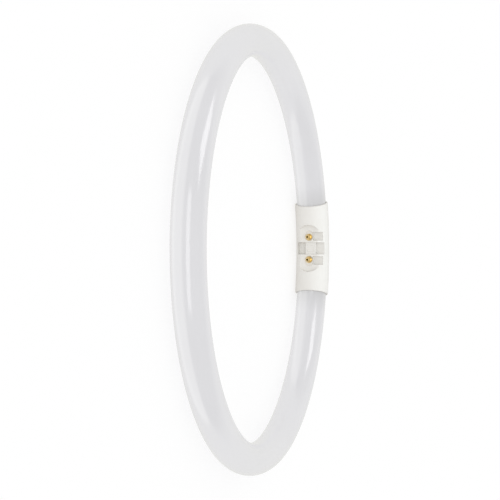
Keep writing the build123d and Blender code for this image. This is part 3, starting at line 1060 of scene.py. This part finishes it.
@dataclass(frozen=True)
class Viewpoint:
    """The photograph's camera, from a fit of the ring's outline.

    It stands off towards -X, raised by the azimuth towards +Z and by the elevation towards +Y. Then it is
    rolled about its view, and turned by the spin about the ring's axis.
    """

    distance: float = 814.05 * MM
    azimuth: float = math.radians(17.172)
    elevation: float = math.radians(0.759)
    roll: float = math.radians(-0.225)
    spin: float = math.radians(0.34)
    lens: float = 114.24
    sensor: float = 36.0
    shift: tuple[float, float] = (-0.01662, -0.0006)
    clip: tuple[float, float] = (0.01, 100.0)

    def build(self) -> bpy.types.Object:
        """Set up the camera, with the ring's own Y upright in the picture.

        Returns:
            The camera, which looks at the ring's centre.
        """
        data = bpy.data.cameras.new("photo_camera")
        data.lens = self.lens
        data.sensor_width = self.sensor
        data.shift_x, data.shift_y = self.shift
        data.clip_start, data.clip_end = self.clip
        camera = bpy.data.objects.new("photo_camera", data)
        flat = math.cos(self.elevation)
        place = self.distance * Vector((-flat * math.cos(self.azimuth), math.sin(self.elevation),
                                        flat * math.sin(self.azimuth)))
        forward = -place.normalized()
        right = forward.cross(Vector((0, 1, 0))).normalized()
        up = right.cross(forward)
        tilted_right = math.cos(self.roll) * right + math.sin(self.roll) * up
        tilted_up = math.cos(self.roll) * up - math.sin(self.roll) * right
        turn = Matrix((tilted_right, tilted_up, -forward)).transposed().to_4x4()
        camera.matrix_world = Matrix.Rotation(self.spin, 4, "Z") @ Matrix.Translation(place) @ turn
        bpy.context.scene.collection.objects.link(camera)
        bpy.context.scene.camera = camera
        return camera


@dataclass(frozen=True)
class SoftLamp:
    """A rectangular soft lamp that looks at a point."""

    name: str
    place: Place
    target: Place
    size: tuple[float, float]
    power: float
    colour: Colour = WHITE
    only_gloss: bool = False
    lit: tuple[str, ...] = ()

    def build(self) -> bpy.types.Object:
        """Add the lamp.

        Returns:
            The lamp. It shows only in reflections if asked to, and lights only the named pieces if there are
            any.
        """
        data = bpy.data.lights.new(self.name, "AREA")
        data.shape = "RECTANGLE"
        data.size, data.size_y = self.size
        data.energy = self.power
        data.color = self.colour
        lamp = bpy.data.objects.new(self.name, data)
        away = Vector(self.place) - Vector(self.target)
        lamp.location = self.place
        lamp.rotation_euler = away.to_track_quat("Z", "Y").to_euler()
        lamp.visible_diffuse = not self.only_gloss
        if self.lit:
            receivers = bpy.data.collections.new(self.name + "_receivers")
            for piece in self.lit:
                receivers.objects.link(bpy.data.objects[piece])
            lamp.light_linking.receiver_collection = receivers
        bpy.context.scene.collection.objects.link(lamp)
        return lamp


@dataclass(frozen=True)
class SoftBox:
    """A tall bright wall of the room: its direction, the cosines where it fades in, and its two levels."""

    towards: Place
    fade: tuple[float, float]
    levels: tuple[float, float]

    def light(self, sheet: NodeSheet, direction: bpy.types.NodeSocket) -> bpy.types.NodeSocket:
        """Brightness of the wall along a level direction.

        Args:
            sheet: The room's node tree.
            direction: The direction, with no part along Y.

        Returns:
            The output that holds the brightness.
        """
        cosine = sheet.add("ShaderNodeVectorMath", {1: self.towards}, operation="DOT_PRODUCT")
        low, high = self.fade
        dim, bright = self.levels
        fade = sheet.add("ShaderNodeMapRange", {
            "From Min": low, "From Max": high, "To Min": dim, "To Max": bright,
        }, interpolation_type="SMOOTHSTEP")
        sheet.link(direction, cosine.inputs[0])
        sheet.link(cosine.outputs["Value"], fade.inputs["Value"])
        return fade.outputs["Result"]


@dataclass(frozen=True)
class Studio:
    """A white table in a room with bright walls, and the lamps."""

    rest_height: float
    floor_gap: float = 0.02 * MM
    floor_half: float = 4.0
    floor_grey: float = 0.485
    room: float = 0.86
    wall_colour: Colour = (1.0, 1.0, 0.95)
    left_wall: SoftBox = SoftBox((-0.502, 0.0, -0.864), (0.66, 0.88), (0.2, 1.3))
    back_wall: SoftBox = SoftBox((0.955, 0.0, -0.295), (-0.1, 0.6), (0.0, 0.6))

    def floor(self) -> bpy.types.Object:
        """The table: grey, with a glow of its own that makes it white where nothing shades it.

        Its grey keeps the shadow of what stands on it. Only the camera sees it, so its glow lights nothing.

        Returns:
            The table.
        """
        half, height = self.floor_half, self.rest_height - self.floor_gap
        corners = [(-half, -half, height), (half, -half, height), (half, half, height), (-half, half, height)]
        mesh = bpy.data.meshes.new("table")
        mesh.from_pydata(corners, [], [(0, 1, 2, 3)])
        table = bpy.data.objects.new("table", mesh)
        table.visible_shadow = False
        table.visible_diffuse = False
        table.visible_glossy = False
        bpy.context.scene.collection.objects.link(table)
        material = bpy.data.materials.new("table_white")
        material.use_nodes = True
        sheet = NodeSheet(material.node_tree)
        grey = (self.floor_grey, self.floor_grey, self.floor_grey, 1.0)
        matte = sheet.add("ShaderNodeBsdfDiffuse", {"Color": grey})
        missing = 1.0 - self.floor_grey * self.room
        glow = sheet.add("ShaderNodeEmission", {"Color": (*WHITE, 1.0), "Strength": missing})
        both = sheet.add("ShaderNodeAddShader")
        output = sheet.add("ShaderNodeOutputMaterial")
        sheet.link(matte.outputs["BSDF"], both.inputs[0])
        sheet.link(glow.outputs["Emission"], both.inputs[1])
        sheet.link(both.outputs["Shader"], output.inputs["Surface"])
        mesh.materials.append(material)
        return table

    def surroundings(self) -> None:
        """The room: white where it is seen, bright walls in reflections, and an even light elsewhere.

        The walls stand along Y, so their light depends on a direction's part in the XZ plane alone.
        """
        world = bpy.data.worlds.new("studio")
        world.use_nodes = True
        bpy.context.scene.world = world
        sheet = NodeSheet(world.node_tree)
        seen = sheet.add("ShaderNodeBackground", {"Color": (*WHITE, 1.0), "Strength": 1.0})
        walls = sheet.add("ShaderNodeBackground", {"Color": (*self.wall_colour, 1.0)})
        even = sheet.add("ShaderNodeBackground", {"Color": (*WHITE, 1.0), "Strength": self.room})
        place = sheet.add("ShaderNodeTexCoord")
        flat = sheet.add("ShaderNodeVectorMath", {1: (1.0, 0.0, 1.0)}, operation="MULTIPLY")
        level = sheet.add("ShaderNodeVectorMath", operation="NORMALIZE")
        both = sheet.add("ShaderNodeMath", operation="ADD")
        path = sheet.add("ShaderNodeLightPath")
        mirrored = sheet.add("ShaderNodeMath", operation="MAXIMUM")
        output = sheet.add("ShaderNodeOutputWorld")
        sheet.link(place.outputs["Generated"], flat.inputs[0])
        sheet.link(flat.outputs["Vector"], level.inputs[0])
        sheet.link(self.left_wall.light(sheet, level.outputs["Vector"]), both.inputs[0])
        sheet.link(self.back_wall.light(sheet, level.outputs["Vector"]), both.inputs[1])
        sheet.link(both.outputs["Value"], walls.inputs["Strength"])
        sheet.link(path.outputs["Is Glossy Ray"], mirrored.inputs[0])
        sheet.link(path.outputs["Is Transmission Ray"], mirrored.inputs[1])
        unseen = sheet.mix_shaders(mirrored.outputs["Value"], even.outputs["Background"],
                                   walls.outputs["Background"])
        room = sheet.mix_shaders(path.outputs["Is Camera Ray"], unseen, seen.outputs["Background"])
        sheet.link(room, output.inputs["Surface"])

    def lamps(self) -> list[SoftLamp]:
        """The two soft lamps that streak the glass, and the two that light the cap and its pins.

        Returns:
            The four lamps, in metres and watts.
        """
        glass = ("opal_ring",)
        cap = ("cap_socket_shell", "cap_back_shell", "brass_pin_upper", "brass_pin_lower")
        left_arm, middle, socket = (-0.107, 0.0, 0.0), (0.0, 0.0, 0.0), (0.107, 0.0, 0.0)
        return [
            SoftLamp("streak_lamp", (-0.168, 0.816, 1.069), middle, size=(0.8, 0.5), power=2.9,
                     only_gloss=True, lit=glass),
            SoftLamp("window_lamp", (-1.175, 0.0, 0.34), left_arm, size=(1.25, 0.45), power=2.8,
                     only_gloss=True, lit=glass),
            SoftLamp("side_lamp", (0.15, 0.05, 0.8), socket, size=(0.5, 0.5), power=1.95,
                     colour=(0.82, 0.93, 1.0), lit=cap),
            SoftLamp("front_lamp", (-0.65, 0.0, 0.28), socket, size=(0.4, 0.4), power=2.1,
                     colour=(0.91, 0.97, 1.0), lit=cap),
        ]

    def build(self) -> None:
        """Set up the table, the room and the lamps."""
        self.floor()
        self.surroundings()
        for lamp in self.lamps():
            lamp.build()
        bpy.context.scene.view_settings.view_transform = "Standard"


def main() -> None:
    """Build the lamp's pieces in order, then the studio round them."""
    logging.basicConfig(level=logging.INFO, format="%(message)s")
    shared = SharedShading.build()
    ring = Ring.from_frame()
    socket = Socket.from_frame(ring)
    OpalTube(ring).build(shared)
    plastic = CAP_PLASTIC.material(shared)
    for side in CapSide:
        CapShell(ring, side, socket).build(plastic)
    brass, painted_bore_shade = PIN_BRASS.material(shared), PIN_BORE_SHADE.material(shared)
    for place in ("upper", "lower"):
        ContactPin(f"contact_pin_{place}", f"brass_pin_{place}").build(brass, painted_bore_shade)
    HiddenWorks(frame["nodes"]).dress(shared)
    Studio(rest_height=-ring.cap_radius).build()
    Viewpoint().build()


if __name__ == "__main__":
    main()
